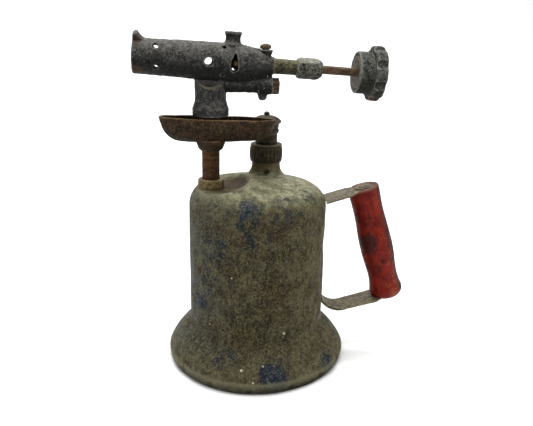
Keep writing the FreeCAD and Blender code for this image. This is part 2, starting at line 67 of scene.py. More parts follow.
# the tank's outline, close to the CAD's, with a plain flat lid inside the foot
body_r = 54.0
foot_r = 72.0
foot_z = 9.0
rim_r = 69.2
rim_inner_r = 66.4
flare_end = (57.0, 28.6)
flare_top_z = 34.5
shoulder_r = 16.4
dome_r = 202.0
dome_top = 148.8
inner_lid_z = 9.6
recess_r = 27.5
recess_z = 141.8
recess_slope = (7.0, 6.0)
riser = middle("riser_pipe")
pump = middle("pump_collar")
neck_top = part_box("tank_shell")[1].z / MM

# the burner's axis, from the valve's joint
valve = next(joint for joint in frame["joints"] if joint["name"] == "valve_turn")
burner_along = Vector(valve["axis"])
burner_up = Vector((0, 1, 0)).cross(burner_along) * -1
burner_zero = Vector(valve["pos_m"]) / MM
burner_zero -= burner_along * ((burner_zero.x - riser.x) / burner_along.x)


def on_burner(along, up=0.0, side=0.0):
    """A point given along the burner's axis from the riser, above it and to its side."""
    return burner_zero + burner_along * along + burner_up * up + Vector((0, side, 0))


# ---- noise and mesh tools ----

# keeps the noise's grid off the middle planes of the pieces, in millimetres
grid_shift = 31.7


def hashed(cells, seed):
    """A repeatable random number from -1 to 1 for each whole-number cell."""
    x, y, z = cells.T
    mixed = x * 73856093 ^ y * 19349663 ^ z * 83492791 ^ seed * 2654435
    mixed = (mixed ^ mixed >> 13) * 1274126177 & 0x7FFFFFFF
    return (mixed ^ mixed >> 16) % 65536 / 32767.5 - 1


def lumps(points, size, seed):
    """Smooth noise from -1 to 1 with lumps about size millimetres across."""
    scaled = points / size
    cells = np.floor(scaled).astype(np.int64)
    t = scaled - cells
    t = t * t * (3 - 2 * t)
    total = np.zeros(len(points))
    for corner in itertools.product((0, 1), repeat=3):
        weight = np.prod(np.where(corner, t, 1 - t), axis=1)
        total += weight * hashed(cells + corner, seed)
    return total


def smooth_step(value, low, high):
    t = np.clip((value - low) / (high - low), 0, 1)
    return t * t * (3 - 2 * t)


def points_of(mesh):
    flat = np.empty(len(mesh.vertices) * 3)
    mesh.vertices.foreach_get("co", flat)
    return flat.reshape(-1, 3) / MM


def normals_of(mesh):
    flat = np.empty(len(mesh.vertices) * 3, np.float32)
    mesh.vertex_normals.foreach_get("vector", flat)
    return flat.reshape(-1, 3).astype(float)


def edges_of(mesh):
    flat = np.empty(len(mesh.edges) * 2, np.int32)
    mesh.edges.foreach_get("vertices", flat)
    return flat.reshape(-1, 2)


def move_points(mesh, points):
    mesh.vertices.foreach_set("co", (points * MM).astype(np.float32).ravel())
    mesh.update()


def relaxed(points, edges, rounds):
    """The points after each has moved half way to the mean of its neighbours, some rounds."""
    count = np.maximum(np.bincount(edges.ravel(), minlength=len(points)), 1)[:, None]
    for _ in range(rounds):
        total = np.empty_like(points)
        for axis in range(3):
            near = points[:, axis]
            total[:, axis] = np.bincount(edges[:, 0], near[edges[:, 1]], len(points))
            total[:, axis] += np.bincount(edges[:, 1], near[edges[:, 0]], len(points))
        points = (points + total / count) / 2
    return points


def new_piece(name, mesh):
    thing = bpy.data.objects.new(name, mesh)
    bpy.context.scene.collection.objects.link(thing)
    return thing


def remeshed(nodes, voxel):
    """A copy of one or more CAD nodes as one skin of even faces, voxel millimetres across."""
    work = bmesh.new()
    for node in nodes:
        work.from_mesh(frame["nodes"][node].data)
    bmesh.ops.remove_doubles(work, verts=work.verts, dist=0.002 * MM)
    mesh = bpy.data.meshes.new(nodes[0])
    work.to_mesh(mesh)
    work.free()
    thing = new_piece(nodes[0] + "_aged", mesh)
    grid = thing.modifiers.new("even", "REMESH")
    grid.mode = "VOXEL"
    grid.voxel_size = voxel * MM
    depsgraph = bpy.context.evaluated_depsgraph_get()
    even = bpy.data.meshes.new_from_object(thing.evaluated_get(depsgraph))
    thing.modifiers.clear()
    thing.data = even
    return thing


def trace(spacing, start, *steps):
    """Points along an outline. A step is one pair for a straight run, two for an arc."""
    found = [Vector(start)]
    for step in steps:
        here = found[-1].copy()
        if isinstance(step[0], tuple):
            via, there = Vector(step[0]), Vector(step[1])
            a, b = via - here, there - here
            cross = 2 * (a.x * b.y - a.y * b.x)
            centre = here + Vector((b.y * a.length_squared - a.y * b.length_squared,
                                    a.x * b.length_squared - b.x * a.length_squared)) / cross
            first = here - centre
            turn = math.atan2(first.x * (there - centre).y - first.y * (there - centre).x,
                              first.dot(there - centre))
            count = max(2, round(abs(turn) * first.length / spacing))
            for k in range(1, count + 1):
                angle = turn * k / count
                c, s = math.cos(angle), math.sin(angle)
                spoke = Vector((c * first.x - s * first.y, s * first.x + c * first.y))
                found.append(centre + spoke)
        else:
            there = Vector(step)
            count = max(1, round((there - here).length / spacing))
            found.extend(here.lerp(there, k / count) for k in range(1, count + 1))
    return found


def turned(name, outline, segments, x=0.0, y=0.0):
    """A mesh turned about a vertical axis from outline points of radius and height."""
    work = bmesh.new()
    rim = [work.verts.new(Vector((p.x, 0, p.y)) * MM) for p in outline]
    ring = [work.edges.new(pair) for pair in zip(rim, rim[1:])]
    bmesh.ops.spin(
        work, geom=rim + ring, cent=(0, 0, 0), axis=(0, 0, 1), angle=2 * math.pi, steps=segments,
        use_duplicate=False, use_merge=True,
    )
    bmesh.ops.remove_doubles(work, verts=work.verts, dist=0.01 * MM)
    bmesh.ops.recalc_face_normals(work, faces=work.faces)
    bmesh.ops.translate(work, verts=work.verts, vec=Vector((x, y, 0)) * MM)
    mesh = bpy.data.meshes.new(name)
    work.to_mesh(mesh)
    work.free()
    return new_piece(name, mesh)


def weather(thing, soften, roughen, dents=(), seed=0):
    """Softens a mesh and moves its points along their normals. roughen holds pairs of lump size
    and depth, and dents hold a centre, a radius and a depth. The mesh then keeps two marks for
    its material: ridge, which is 1 on edges and 0 in hollows, and up, which way it faces."""
    mesh = thing.data
    edges = edges_of(mesh)
    points = relaxed(points_of(mesh), edges, soften)
    move_points(mesh, points)
    normals = normals_of(mesh)
    offset = np.zeros(len(points))
    for step, (size, depth) in enumerate(roughen):
        offset += depth * lumps(points + grid_shift, size, seed + 7 * step)
    for centre, radius, depth in dents:
        far = np.linalg.norm(points - np.array(centre), axis=1) / radius
        offset -= depth * np.clip(1 - far ** 2, 0, 1) ** 2
    points = points + normals * offset[:, None]
    move_points(mesh, points)
    normals = normals_of(mesh)
    length = np.linalg.norm(points[edges[:, 0]] - points[edges[:, 1]], axis=1).mean()
    proud = np.einsum("ij,ij->i", points - relaxed(points, edges, 8), normals)
    marks = {"ridge": np.clip(0.5 + proud / length, 0, 1), "up": normals[:, 2]}
    for mark, values in marks.items():
        layer = mesh.attributes.new(mark, "FLOAT", "POINT")
        layer.data.foreach_set("value", values.astype(np.float32))
    mesh.shade_smooth()
    return thing


def finished(thing, nodes, material):
    """Puts a piece in the place of its CAD nodes, on the same body."""
    thing.data.materials.clear()
    thing.data.materials.append(material)
    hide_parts(*nodes)
    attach(thing, body_of[nodes[0]])
    return thing


# ---- materials ----


def tone(red, green, blue):
    """A colour from its 0 to 255 display values."""
    parts = [value / 255 for value in (red, green, blue)]
    return [v / 12.92 if v <= 0.04045 else ((v + 0.055) / 1.055) ** 2.4 for v in parts] + [1.0]


class Paint:
    """A procedural material under construction. Sizes are millimetres on the piece."""

    def __init__(self, name):
        self.material = bpy.data.materials.new(name)
        self.material.use_nodes = True
        self.tree = self.material.node_tree
        self.shader = self.tree.nodes["Principled BSDF"]
        where = self.add("ShaderNodeTexCoord").outputs["Object"]
        self.place = self.vector("SCALE", where, scale=1 / MM)
        self.relief = None

    def add(self, kind, **settings):
        node = self.tree.nodes.new(kind)
        for name, value in settings.items():
            setattr(node, name, value)
        return node

    def wire(self, value, socket):
        if isinstance(value, bpy.types.NodeSocket):
            self.tree.links.new(value, socket)
        else:
            socket.default_value = value

    def vector(self, operation, a, b=None, scale=None):
        node = self.add("ShaderNodeVectorMath", operation=operation)
        self.wire(a, node.inputs[0])
        if b is not None:
            self.wire(b, node.inputs[1])
        if scale is not None:
            self.wire(scale, node.inputs["Scale"])
        gives_number = operation in ("DISTANCE", "DOT_PRODUCT")
        return node.outputs["Value" if gives_number else "Vector"]

    def math(self, operation, a, b=0.0):
        node = self.add("ShaderNodeMath", operation=operation)
        self.wire(a, node.inputs[0])
        self.wire(b, node.inputs[1])
        return node.outputs[0]

    def times(self, a, b):
        return self.math("MULTIPLY", a, b)

    def most(self, a, b):
        return self.math("MAXIMUM", a, b)

    def noise(self, size, seed=0, detail=3.0, rough=0.6, stretch=None, warp=0.0):
        """Cloudy noise about 0.5, with lumps of that size, drawn out by a stretch along X, Y, Z."""
        where = self.place
        if stretch:
            where = self.vector("DIVIDE", where, stretch)
        node = self.add("ShaderNodeTexNoise", noise_dimensions="4D")
        self.wire(where, node.inputs["Vector"])
        self.wire(float(seed), node.inputs["W"])
        self.wire(1 / size, node.inputs["Scale"])
        self.wire(detail, node.inputs["Detail"])
        self.wire(rough, node.inputs["Roughness"])
        self.wire(warp, node.inputs["Distortion"])
        return node.outputs["Fac"]

    def cells(self, size, seed=0):
        """Distance from scattered points, in their own spacing, and a random number for each."""
        node = self.add("ShaderNodeTexVoronoi", voronoi_dimensions="4D")
        self.wire(self.place, node.inputs["Vector"])
        self.wire(float(seed), node.inputs["W"])
        self.wire(1 / size, node.inputs["Scale"])
        number = self.add("ShaderNodeSeparateColor")
        self.wire(node.outputs["Color"], number.inputs[0])
        return node.outputs["Distance"], number.outputs[0]

    def band(self, value, low, high, bottom=0.0, top=1.0):
        """Value taken smoothly from bottom at low to top at high."""
        node = self.add("ShaderNodeMapRange", interpolation_type="SMOOTHSTEP")
        limits = {"From Min": low, "From Max": high, "To Min": bottom, "To Max": top}
        for name, limit in limits.items():
            self.wire(limit, node.inputs[name])
        self.wire(value, node.inputs["Value"])
        return node.outputs["Result"]

    def mix(self, share, a, b):
        """Colour a turned into colour b by a share from 0 to 1."""
        node = self.add("ShaderNodeMix", data_type="RGBA")
        # the node has sockets for each data type, and these are the colour ones
        for socket, value in ((0, share), (6, a), (7, b)):
            self.wire(value, node.inputs[socket])
        return node.outputs[2]

    def mark(self, name):
        """One of the marks that weather() left on the mesh."""
        return self.add("ShaderNodeAttribute", attribute_name=name).outputs["Fac"]

    def along(self, direction):
        """Distance along a direction, in millimetres from the row frame's origin."""
        return self.vector("DOT_PRODUCT", self.place, direction)

    def patch(self, centre, size, ragged=0.5, seed=0):
        """1 at a place and 0 beyond size from it, with a ragged edge."""
        far = self.vector("DISTANCE", self.place, centre)
        swing = self.math("SUBTRACT", self.noise(size * 0.5, seed, 5.0, 0.7), 0.5)
        jitter = self.times(swing, ragged * size * 3)
        return self.band(self.math("ADD", far, jitter), size, size * 0.55)

    def patches(self, seed, places):
        """The most of several patches. places hold a centre, a size and a raggedness."""
        made = [self.patch(*place, seed + number) for number, place in enumerate(places)]
        return functools.reduce(self.most, made)

    def spots(self, size, seed, edge, core, above):
        """Round spots on the scattered points whose random number is above a limit."""
        far, number = self.cells(size, seed)
        return self.times(self.band(far, edge, core), self.math("GREATER_THAN", number, above))

    def bump(self, height, depth):
        """Adds fine relief: height from 0 to 1, depth in millimetres."""
        node = self.add("ShaderNodeBump")
        self.wire(depth * MM, node.inputs["Distance"])
        self.wire(height, node.inputs["Height"])
        if self.relief is not None:
            self.wire(self.relief, node.inputs["Normal"])
        self.relief = node.outputs["Normal"]

    def done(self, colour, roughness, metallic=0.0, specular=0.5):
        self.wire(colour, self.shader.inputs["Base Color"])
        self.wire(roughness, self.shader.inputs["Roughness"])
        self.wire(metallic, self.shader.inputs["Metallic"])
        self.wire(specular, self.shader.inputs["Specular IOR Level"])
        if self.relief is not None:
            self.wire(self.relief, self.shader.inputs["Normal"])
        return self.material


def gritty(p, colour, dark, light, share=1.0, size=0.95):
    """Scatters dark and light grains over a colour, in two sizes."""
    for number, part in enumerate((1.0, 0.45)):
        grain = p.noise(size * (1 + 1.6 * number), 30 + number, 2, 0.7)
        colour = p.mix(p.band(grain, 0.50, 0.62, 0.0, share * part), colour, dark)
        colour = p.mix(p.band(grain, 0.48, 0.37, 0.0, 0.75 * share * part), colour, light)
    return colour


def edged(p, colour, worn, bright, grimy, dark):
    """Rubs the ridges bright and leaves dark grime in the hollows. worn and grimy hold where the
    ridge mark begins to count, where it counts in full, and how strongly."""
    ridge = p.mark("ridge")
    for (begin, full, share), shade in ((worn, bright), (grimy, dark)):
        colour = p.mix(p.band(ridge, begin, full, 0.0, share), colour, shade)
    return colour


def tank_patina():
    """Tarnished brass under the remains of blue paint, with grime, streaks and paint specks."""
    p = Paint("tank_patina")
    height = p.along((0, 0, 1))
    colour = p.mix(p.band(p.noise(11, 1, 5), 0.38, 0.62), tone(48, 43, 30), tone(74, 68, 49))
    cool_side = p.band(p.along((0.8, -0.6, 0)), 16, -26)
    cool = p.times(cool_side, p.band(p.noise(12, 15, 4), 0.36, 0.56, 0.2, 0.9))
    colour = p.mix(cool, colour, tone(66, 69, 64))
    tan_side = p.band(p.along((1, 0, 0)), 4, 40)
    tan = p.times(tan_side, p.band(p.noise(10, 16, 5), 0.38, 0.58, 0.1, 0.9))
    colour = p.mix(tan, colour, tone(88, 82, 58))
    # pale tarnish on the dome's top, partly a painted highlight from overhead light
    dome = p.times(p.band(height, 134, 146), p.band(p.noise(9, 13, 5), 0.36, 0.56, 0.45, 1.0))
    pale = p.mix(p.band(p.noise(5, 2, 5), 0.38, 0.62), tone(98, 97, 76), tone(142, 140, 114))
    colour = p.mix(dome, colour, pale)
    brown = p.times(p.band(p.noise(17, 3, 6, 0.65), 0.48, 0.60), p.band(height, 138, 118, 0.1, 0.8))
    colour = p.mix(brown, colour, tone(52, 38, 24))
    moss = p.band(p.noise(12, 12, 6, 0.65), 0.54, 0.66, 0.0, 0.6)
    colour = p.mix(moss, colour, tone(72, 68, 34))
    streak = p.band(p.noise(3.2, 5, 4, 0.6, stretch=(1, 1, 5), warp=0.6), 0.52, 0.64, 0.0, 0.65)
    colour = p.mix(p.times(streak, p.band(height, 140, 126)), colour, tone(22, 22, 20))
    chips = p.band(p.noise(1.7, 17, 3, 0.6, stretch=(1, 1, 2.2)), 0.59, 0.63, 0.0, 0.95)
    colour = p.mix(p.times(chips, p.band(height, 132, 110, 0.2, 1.0)), colour, tone(12, 13, 14))
    foot_pale = p.times(p.band(height, 30, 14), p.band(p.noise(7, 6, 5), 0.42, 0.6, 0.15, 0.8))
    colour = p.mix(foot_pale, colour, tone(80, 75, 54))
    slate = p.patches(1, (
        ((7, -68, 14), 17, 0.4), ((-14, -49, 135), 17, 0.5), ((-48, -26, 62), 17, 0.5),
        ((-36, -40, 106), 16, 0.5), ((-40, -36, 78), 14, 0.5), ((-30, -56, 22), 13, 0.5),
        ((16, -50, 138), 16, 0.5), ((-6, -54, 116), 13, 0.5), ((51, -48, 14), 13, 0.5),
        ((34, -30, 142), 12, 0.5), ((40, 40, 60), 22, 0.5), ((-20, 52, 100), 20, 0.5),
        ((10, 62, 22), 20, 0.5), ((60, 20, 16), 12, 0.5),
    ))
    flakes = p.band(p.noise(6, 7, 6, 0.75), 0.47, 0.55)
    colour = p.mix(p.times(p.times(slate, flakes), 0.9), colour, tone(24, 35, 44))
    blue = p.patches(40, (
        ((6, -68, 14), 13, 0.5), ((-46, -28, 58), 8, 0.6), ((52, -48, 13), 8, 0.6),
        ((-14, -50, 138), 9, 0.6),
    ))
    blue = p.times(blue, p.band(p.noise(2.5, 14, 4, 0.8), 0.38, 0.52, 0.3, 0.95))
    colour = p.mix(blue, colour, tone(10, 30, 52))
    colour = gritty(p, colour, tone(16, 15, 10), tone(116, 111, 84), 0.55)
    specks = p.spots(8, 1, 0.16, 0.08, above=0.8)
    colour = p.mix(p.times(specks, 0.85), colour, tone(196, 190, 162))
    pits = p.spots(5, 2, 0.22, 0.1, above=0.6)
    colour = p.mix(p.times(pits, 0.85), colour, tone(18, 17, 14))
    colour = edged(
        p, colour, (0.56, 0.72, 0.5), tone(112, 108, 86), (0.43, 0.25, 0.7), tone(18, 15, 10),
    )
    # painted shade in the pressed recess beside the riser, with rust-brown stain
    recess = p.patch((riser.x + 13, 2, recess_z), 26, 0.2, 20)
    recess = p.times(recess, p.band(height, 148.6, 145.6))
    colour = p.mix(p.times(recess, 0.9), colour, tone(58, 44, 27))
    on_neck = p.band(height, 149.0, 152.0)
    neck_tan = p.times(on_neck, p.band(p.noise(4, 18, 4), 0.36, 0.56, 0.3, 0.9))
    colour = p.mix(neck_tan, colour, tone(88, 78, 50))
    nick = p.patch((8, 11, 151), 3.0, 0.8, 50)
    colour = p.mix(p.times(nick, 0.85), colour, tone(16, 13, 9))
    # painted shade on the rim band under the foot, which faces down
    under = p.band(height, 7.5, 2.0)
    colour = p.mix(p.times(under, 0.7), colour, tone(22, 20, 15))
    p.bump(p.noise(0.9, 9, 4, 0.7), 0.18)
    p.bump(p.noise(4, 10, 3), 0.25)
    roughness = p.band(p.noise(6, 11, 4), 0.35, 0.65, 0.52, 0.78)
    return p.done(colour, roughness, 0.05, 0.06)


def cast_iron(name, dark, light, rust, highlight_and_wear, rust_share, underside_shade, marks=None):
    """Sand-cast iron: grainy, rusty in places, paler on its ridges, with a painted highlight on top and painted
    shade underneath.
    marks adds what only one casting has."""
    p = Paint(name)
    colour = p.mix(p.band(p.noise(6, 1, 5), 0.36, 0.64), dark, light)
    rusty = p.band(p.noise(8, 2, 6, 0.7), 0.64 - rust_share * 0.3, 0.74 - rust_share * 0.25)
    colour = p.mix(p.times(rusty, 0.8), colour, rust)
    up = p.mark("up")
    # painted highlight: faces turned up are lightened as if lit from overhead
    colour = p.mix(p.band(up, 0.3, 1.0, 0.0, 0.35), colour, highlight_and_wear)
    colour = gritty(p, colour, tone(8, 7, 6), highlight_and_wear, 0.6)
    # painted shade: faces turned down are darkened as if unlit
    colour = p.mix(p.band(up, 0.3, -0.45, 0.0, underside_shade), colour, tone(8, 8, 7))
    colour = edged(p, colour, (0.6, 0.9, 0.45), highlight_and_wear, (0.42, 0.15, 0.7), tone(8, 8, 7))
    if marks:
        colour = marks(p, colour)
    p.bump(p.noise(0.7, 4, 4, 0.75), 0.25)
    p.bump(p.noise(2.0, 5, 3), 0.3)
    return p.done(colour, p.band(p.noise(3, 6), 0.35, 0.65, 0.55, 0.85), 0.0, 0.12)


def burner_marks(p, colour):
    """Rust at the nozzle, and where the neck's front is cut back a tan crescent of dust painted lighter as a
    highlight, with painted shade above it.
    """
    nozzle = p.patches(60, (
        (tuple(on_burner(-53, 11, -9)), 7, 0.6), (tuple(on_burner(-52, -9, -8)), 6, 0.6),
    ))
    colour = p.mix(p.times(nozzle, 0.55), colour, tone(62, 46, 32))
    flattened = p.vector("MULTIPLY", p.place, (1, 0, 1))
    crescent_centre = (riser.x - 0.7, 0, 227.2)
    far = p.vector("DISTANCE", flattened, crescent_centre)
    front = p.times(p.band(p.along((0, 1, 0)), -8, -9.5), p.band(p.along((0, 0, 1)), 223.5, 222.0))
    # the tan crescent is dust with a painted highlight, where the cut-back face turns up to the light
    worn = p.times(p.times(p.band(far, 8.2, 8.8), p.band(far, 10.2, 9.4)), front)
    colour = p.mix(p.times(worn, 0.7), colour, tone(92, 82, 60))
    # painted shade under the barrel, above the crescent
    shaded = p.times(p.band(far, 8.8, 7.8), front)
    return p.mix(p.times(shaded, 0.8), colour, tone(14, 13, 10))


def rusty_metal(name, dark, light, stretch=None, rough=0.7, metallic=0.2):
    """Rusted plain steel or dull brass, with an optional direction to its marks."""
    p = Paint(name)
    colour = p.mix(p.band(p.noise(3, 1, 5, 0.65, stretch=stretch), 0.36, 0.64), dark, light)
    grain = p.noise(0.9, 2, 4, 0.8, stretch=stretch)
    colour = p.mix(p.band(grain, 0.50, 0.66, 0.0, 0.65), colour, tone(12, 9, 6))
    colour = p.mix(p.band(grain, 0.48, 0.34, 0.0, 0.3), colour, tone(124, 108, 80))
    colour = edged(
        p, colour, (0.58, 0.9, 0.4), tone(142, 130, 106), (0.44, 0.15, 0.8), tone(14, 11, 8),
    )
    p.bump(p.noise(0.6, 3, 4, 0.7, stretch=stretch), 0.14)
    roughness = p.band(p.noise(2, 4), 0.35, 0.65, rough - 0.12, rough + 0.12)
    return p.done(colour, roughness, metallic, 0.16)


def composition():
    """Weathered moulded knob: grey, chalky and pitted, with a maroon remnant."""
    p = Paint("composition")
    colour = p.mix(p.band(p.noise(5, 1, 5), 0.36, 0.64), tone(38, 39, 36), tone(66, 67, 62))
    colour = gritty(p, colour, tone(12, 11, 10), tone(128, 128, 118), 0.6)
    # painted shade: faces turned down are darkened as if unlit
    colour = p.mix(p.band(p.mark("up"), 0.2, -0.7, 0.0, 0.8), colour, tone(14, 14, 12))
    pits = p.spots(2.4, 3, 0.3, 0.15, above=0.7)
    colour = p.mix(p.times(pits, 0.8), colour, tone(26, 25, 24))
    stain = p.patch(tuple(on_burner(124, -17, -4)), 6, 0.5, 5)
    colour = p.mix(p.times(stain, 0.6), colour, tone(72, 34, 30))
    colour = edged(
        p, colour, (0.58, 0.9, 0.45), tone(138, 138, 130), (0.44, 0.15, 0.8), tone(14, 13, 12),
    )
    p.bump(p.math("SUBTRACT", 1.0, pits), 0.3)
    p.bump(p.noise(0.7, 4, 4, 0.7), 0.15)
    return p.done(colour, 0.8, 0.0, 0.14)


def grip_axis():
    """Unit vector along the grip, from its foot to its top."""
    foot, top = middle("handle_nut"), middle("handle_washer")
    return (top - foot).normalized()


def grip_point(down, side):
    """A point on the camera's side of the grip, that far along from its top and that far across."""
    toward_camera = 11
    return middle("handle_washer") + grip_axis() * down + Vector((side, -toward_camera, 0))


def grip_across():
    """Unit vector across the grip, away from the tank."""
    return grip_axis().cross(Vector((0, 1, 0)))


def grip_left():
    """Where the grip's tank side lies, across its axis."""
    half_width = 13
    return middle("handle_washer").dot(grip_across()) - half_width


def grip_top():
    """Where the grip's top lies, along its axis."""
    return middle("handle_washer").dot(grip_axis())


def red_wood():
    """Old red paint on a turned grip, rubbed brown at the edges, with grain along its length and painted shade
    along the side next to the tank.
    """
    p = Paint("red_wood")
    axis = tuple(grip_axis())
    grain_stretch = 6.0
    along = p.along(axis)
    squeeze = p.vector("SCALE", axis, scale=p.times(along, 1 - 1 / grain_stretch))
    plain, p.place = p.place, p.vector("SUBTRACT", p.place, squeeze)
    streaks = p.noise(2.2, 1, 5, 0.65)
    fibres = p.noise(0.6, 2, 4, 0.7)
    p.place = plain
    colour = p.mix(p.band(p.noise(9, 3, 5), 0.36, 0.64), tone(84, 7, 3), tone(122, 24, 8))
    colour = p.mix(p.band(streaks, 0.50, 0.66, 0.0, 0.75), colour, tone(46, 6, 4))
    colour = p.mix(p.band(fibres, 0.53, 0.68, 0.0, 0.6), colour, tone(26, 7, 5))
    worn = p.band(p.noise(5, 4, 6, 0.7), 0.50, 0.64)
    right = p.band(p.along((1, 0, 0)), 96, 116, 0.2, 1.0)
    colour = p.mix(p.times(worn, p.times(right, 0.8)), colour, tone(122, 66, 36))
    dark = p.patch(tuple(grip_point(-48, -10)), 12, 0.7, 6)
    colour = p.mix(p.times(dark, 0.8), colour, tone(38, 18, 15))
    # painted shade along the grip's side next to the tank
    left = p.band(p.along(tuple(grip_across())), grip_left() + 7, grip_left() + 1)
    colour = p.mix(p.times(left, 0.9), colour, tone(22, 8, 6))
    top = p.band(along, grip_top() - 2.2, grip_top() + 1.0)
    colour = p.mix(p.times(top, 0.9), colour, tone(48, 38, 30))
    colour = edged(p, colour, (0.6, 0.85, 0.7), tone(96, 62, 42), (0.42, 0.2, 0.8), tone(20, 10, 9))
    p.bump(fibres, 0.12)
    p.bump(streaks, 0.2)
    return p.done(colour, p.band(p.noise(3, 8), 0.35, 0.65, 0.45, 0.7), 0.0, 0.14)


def woven(name, thread, light, dark):
    """Twisted cotton for the parts that hide inside."""
    p = Paint(name)
    twist = p.math("SINE", p.times(p.along((0.6, 0.5, 0.9)), 2 * math.pi / thread))
    colour = p.mix(p.band(twist, -1, 1), dark, light)
    colour = p.mix(p.band(p.noise(0.4, 1), 0.4, 0.65, 0.0, 0.5), colour, dark)
    p.bump(twist, 0.2)
    return p.done(colour, 0.9)


def machined(name, light, dark, roughness, metallic):
    """Turned metal for the parts that hide inside, with fine tool marks."""
    p = Paint(name)
    marks = p.noise(0.5, 1, 3, 0.6, stretch=(6, 6, 1))
    colour = p.mix(p.band(marks, 0.4, 0.65), light, dark)
    colour = p.mix(p.band(p.noise(5, 2, 4), 0.5, 0.65, 0.0, 0.5), colour, tone(60, 50, 36))
    p.bump(marks, 0.03)
    return p.done(colour, roughness, metallic)


def hide(name, light, dark):
    """Oiled leather with a pebbled grain."""
    p = Paint(name)
    far, _ = p.cells(0.8, 1)
    colour = p.mix(p.band(far, 0.2, 0.6), dark, light)
    p.bump(far, 0.12)
    return p.done(colour, 0.6)


# ---- the tank ----


def tank_outline():
    """The tank's outside from the lid inside the foot, under the rim, to the dome's crown."""
    sphere_z = dome_top - dome_r
    centre_r = body_r - shoulder_r
    shoulder_z = sphere_z + math.sqrt((dome_r - shoulder_r) ** 2 - centre_r ** 2)
    lean = math.atan2(centre_r, shoulder_z - sphere_z)
    half = (math.pi / 2 + lean) / 2
    meet = (centre_r + shoulder_r * math.sin(lean), shoulder_z + shoulder_r * math.cos(lean))
    bend = (centre_r + shoulder_r * math.sin(half), shoulder_z + shoulder_r * math.cos(half))
    over = (dome_r * math.sin(lean / 2), sphere_z + dome_r * math.cos(lean / 2))
    return trace(
        1.2, (0, inner_lid_z), (rim_inner_r, inner_lid_z), (rim_inner_r, 0), (rim_r, 0),
        ((71.3, 3.6), (foot_r, foot_z)), ((65.6, 19.6), flare_end),
        ((54.8, 31.3), (body_r, flare_top_z)), (body_r, shoulder_z), (bend, meet),
        (over, (0, dome_top)),
    )


def tank():
    """The drawn tank: its recess is pressed in softly, and its foot is a little out of round."""
    thing = turned("tank_shell_aged", tank_outline(), segments=300)
    points = points_of(thing.data)
    reach = np.hypot(points[:, 0] - riser.x, points[:, 1] - riser.y)
    outside = smooth_step(reach, recess_r - recess_slope[0], recess_r + recess_slope[1])
    on_dome = points[:, 2] > recess_z
    pressed = recess_z + (points[:, 2] - recess_z) * outside
    points[on_dome, 2] = pressed[on_dome]
    around = np.arctan2(points[:, 1], points[:, 0])
    low = smooth_step(points[:, 2], flare_top_z, foot_z) * smooth_step(points[:, 2], -1, 2)
    bulge = 0.9 * np.exp(-(around / 0.5) ** 2)
    flat = 1.6 * np.exp(-((around + 1.05) / 0.42) ** 2)
    push = bulge - flat
    spread = 1 + low * push / foot_r
    points[:, :2] *= spread[:, None]
    move_points(thing.data, points)
    dents = (
        ((53, -12, 96), 14, 0.7), ((-50, -22, 60), 16, 0.6), ((10, -55, 70), 18, 0.5),
        ((-20, -51, 108), 10, 0.5), ((30, 46, 80), 20, 0.8), ((-30, 46, 50), 14, 0.6),
        ((62, -36, 8), 6, 0.8), ((-60, -38, 6), 6, 0.6), ((20, -68, 3), 4, 0.7),
        ((-12, -70, 3), 3, 0.5), ((45, -54, 4), 4, 0.6), ((-40, -58, 4), 4, 0.5),
        ((30, -25, 145), 9, 0.4), ((-5, -38, 145), 10, 0.35), ((9, 9.5, 149), 1.6, 0.9),
    )
    weather(thing, 1, ((42, 0.35), (13, 0.14), (4, 0.06)), dents, seed=11)
    points = points_of(thing.data)
    points[:, 2] = np.maximum(points[:, 2], 0)
    move_points(thing.data, points)
    return finished(thing, ["tank_shell"], tank_paint)


def tank_neck():
    """The threaded neck under the pump's collar, spreading into the dome."""
    bore, neck_r, thread_r, step_z = 8.95, 11.5, 10.8, 157.2
    outline = trace(
        0.9, (bore, neck_top), (bore, 141.0), (22.6, 140.9), (16.0, 146.2),
        ((12.7, 150.3), (neck_r, 155.6)), (neck_r, step_z), (thread_r, step_z),
        (thread_r, neck_top), (bore, neck_top),
    )
    thing = turned("tank_neck", outline, segments=96, x=pump.x, y=pump.y)
    weather(thing, 1, ((8, 0.15), (3, 0.07)), seed=5)
    thing.data.materials.append(tank_paint)
    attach(thing, body_of["tank_shell"])
    return thing


# ---- the other pieces ----

tank_paint = tank_patina()
burner_iron = cast_iron(
    "burner_iron", tone(31, 31, 31), tone(64, 63, 60), tone(62, 44, 30), tone(112, 110, 104),
    rust_share=0.1, underside_shade=0.85, marks=burner_marks,
)
cup_iron = cast_iron(
    "cup_iron", tone(36, 26, 15), tone(68, 52, 32), tone(72, 42, 20), tone(112, 90, 60),
    rust_share=0.5, underside_shade=0.55,
)
gland_brass = cast_iron(
    "gland_brass", tone(36, 34, 26), tone(72, 68, 50), tone(92, 92, 42), tone(116, 112, 84),
    rust_share=0.35, underside_shade=0.5,
)
nut_iron = cast_iron(
    "nut_iron", tone(44, 43, 38), tone(88, 87, 76), tone(70, 66, 48), tone(156, 155, 142),
    rust_share=0.2, underside_shade=0.6,
)
pipe_rust = rusty_metal("pipe_rust", tone(40, 24, 8), tone(76, 48, 22), stretch=(2, 2, 1))
plug_rust = rusty_metal("plug_rust", tone(40, 26, 17), tone(76, 54, 40))
stem_rust = rusty_metal(
    "stem_rust", tone(58, 40, 28), tone(98, 74, 56), stretch=(4, 1, 1), rough=0.5,
)
bung_brass = rusty_metal("bung_brass", tone(72, 60, 36), tone(118, 102, 68), rough=0.55)
pump_brass = rusty_metal("pump_brass", tone(24, 20, 10), tone(54, 46, 26), rough=0.6)
face_steel = rusty_metal("face_steel", tone(24, 20, 14), tone(70, 60, 42), rough=0.6)
strap_steel = rusty_metal(
    "strap_steel", tone(50, 42, 28), tone(100, 91, 70), rough=0.55, metallic=0.3,
)
black_steel = rusty_metal("black_steel", tone(12, 11, 10), tone(30, 28, 25), rough=0.6)
knob_grey = composition()
grip_paint = red_wood()

tank()
tank_neck()

